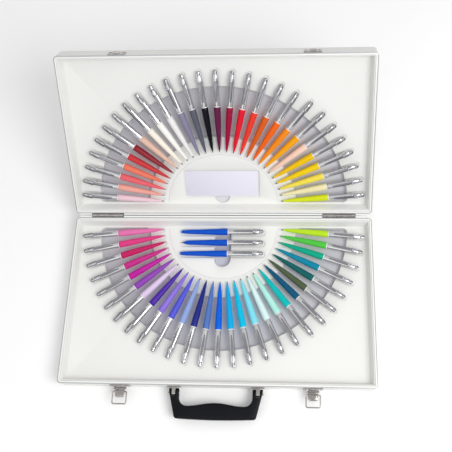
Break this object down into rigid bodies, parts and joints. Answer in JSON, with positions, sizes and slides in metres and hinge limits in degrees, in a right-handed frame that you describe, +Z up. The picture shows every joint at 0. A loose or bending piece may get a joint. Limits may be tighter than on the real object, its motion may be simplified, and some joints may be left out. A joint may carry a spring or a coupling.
{
  "type": "pen presentation case",
  "caption": "Open hinged presentation case with formed trays holding two fans of retractable ball pens, loose blue pens, draw latches and a moulded carrying handle.",
  "frame": {"origin": "middle of the base's underside, which lies on the table", "axes": "+X along the hinges to the right as seen from the handle, +Y from the handle to the hinges, +Z up out of the open base"},
  "size_m": [0.48, 0.5176, 0.2263],
  "materials": {
    "case_white": "fine textured white laminate",
    "tray_white": "vacuum-formed satin sheet",
    "edge_aluminium": "satin anodised, with white inner lip",
    "chrome": "polished plating",
    "pen_metal": "bright plated thin metal",
    "pen_colours": "glossy moulded barrels, one colour each",
    "pen_blue": "glossy moulded blue",
    "refill": "drawn tube",
    "spring_steel": "drawn wire",
    "handle_black": "satin moulded black",
    "card": "blank coated card"
  },
  "bodies": {
    "base": {"base_shell": "case_white", "base_rim": "edge_aluminium", "base_tray": "tray_white", "base_pen_barrels": "pen_colours", "base_pen_uppers": "pen_metal", "hinge_left_base_leaf": "chrome", "hinge_left_pin": "chrome", "hinge_right_base_leaf": "chrome", "hinge_right_pin": "chrome", "latch_left_plate": "chrome", "latch_left_pin": "chrome", "latch_right_plate": "chrome", "latch_right_pin": "chrome", "handle_left_bracket": "chrome", "handle_left_pin": "chrome", "handle_right_bracket": "chrome", "handle_right_pin": "chrome"},
    "lid": {"lid_shell": "case_white", "lid_rim": "edge_aluminium", "lid_tray": "tray_white", "lid_pen_barrels": "pen_colours", "lid_pen_uppers": "pen_metal", "info_card": "card", "hinge_left_lid_leaf": "chrome", "hinge_right_lid_leaf": "chrome", "latch_left_keeper": "chrome", "latch_right_keeper": "chrome"},
    "handle": {"handle_grip": "handle_black"},
    "latch_left_lever": {"latch_left_lever": "chrome"},
    "latch_left_bail": {"latch_left_bail": "chrome"},
    "latch_right_lever": {"latch_right_lever": "chrome"},
    "latch_right_bail": {"latch_right_bail": "chrome"},
    "blue_pen_back": {"blue_pen_back_barrel": "pen_blue", "blue_pen_back_upper": "pen_metal", "blue_pen_back_clip": "pen_metal", "blue_pen_back_spring": "spring_steel"},
    "blue_pen_back_button": {"blue_pen_back_button": "pen_metal", "blue_pen_back_refill": "refill"},
    "blue_pen_middle": {"blue_pen_middle_barrel": "pen_blue", "blue_pen_middle_upper": "pen_metal", "blue_pen_middle_clip": "pen_metal", "blue_pen_middle_spring": "spring_steel"},
    "blue_pen_middle_button": {"blue_pen_middle_button": "pen_metal", "blue_pen_middle_refill": "refill"},
    "blue_pen_front": {"blue_pen_front_barrel": "pen_blue", "blue_pen_front_upper": "pen_metal", "blue_pen_front_clip": "pen_metal", "blue_pen_front_spring": "spring_steel"},
    "blue_pen_front_button": {"blue_pen_front_button": "pen_metal", "blue_pen_front_refill": "refill"}
  },
  "joints": [
    {"name": "lid_hinge", "type": "hinge", "parent": "base", "child": "lid", "pos_m": [0, 0.13505, 0.03], "axis": [-1, 0, 0], "range_deg": [-132.6, 0]},
    {"name": "handle_swing", "type": "hinge", "parent": "base", "child": "handle", "pos_m": [0, -0.14155, 0.016], "axis": [-1, 0, 0], "range_deg": [0, 90]},
    {"name": "latch_left_swing", "type": "hinge", "parent": "base", "child": "latch_left_lever", "pos_m": [-0.145, -0.13595, 0.0175], "axis": [1, 0, 0], "range_deg": [-90, 0]},
    {"name": "latch_left_bail_tip", "type": "hinge", "parent": "latch_left_lever", "child": "latch_left_bail", "pos_m": [-0.145, -0.14095, 0.0184], "axis": [-1, 0, 0], "range_deg": [0, 30]},
    {"name": "latch_right_swing", "type": "hinge", "parent": "base", "child": "latch_right_lever", "pos_m": [0.145, -0.13595, 0.0175], "axis": [1, 0, 0], "range_deg": [-90, 0]},
    {"name": "latch_right_bail_tip", "type": "hinge", "parent": "latch_right_lever", "child": "latch_right_bail", "pos_m": [0.145, -0.14095, 0.0184], "axis": [-1, 0, 0], "range_deg": [0, 30]},
    {"name": "blue_pen_back_lift", "type": "slide", "parent": "base", "child": "blue_pen_back", "axis": [0, 0, 1], "range_m": [0, 0.06]},
    {"name": "blue_pen_back_click", "type": "slide", "parent": "blue_pen_back", "child": "blue_pen_back_button", "axis": [1, 0, 0], "range_m": [-0.004, 0], "stiffness_N_per_m": 250, "springref_m": 0.002},
    {"name": "blue_pen_middle_lift", "type": "slide", "parent": "base", "child": "blue_pen_middle", "axis": [0, 0, 1], "range_m": [0, 0.06]},
    {"name": "blue_pen_middle_click", "type": "slide", "parent": "blue_pen_middle", "child": "blue_pen_middle_button", "axis": [1, 0, 0], "range_m": [-0.004, 0], "stiffness_N_per_m": 250, "springref_m": 0.002},
    {"name": "blue_pen_front_lift", "type": "slide", "parent": "base", "child": "blue_pen_front", "axis": [0, 0, 1], "range_m": [0, 0.06]},
    {"name": "blue_pen_front_click", "type": "slide", "parent": "blue_pen_front", "child": "blue_pen_front_button", "axis": [1, 0, 0], "range_m": [-0.004, 0], "stiffness_N_per_m": 250, "springref_m": 0.002}
  ]
}
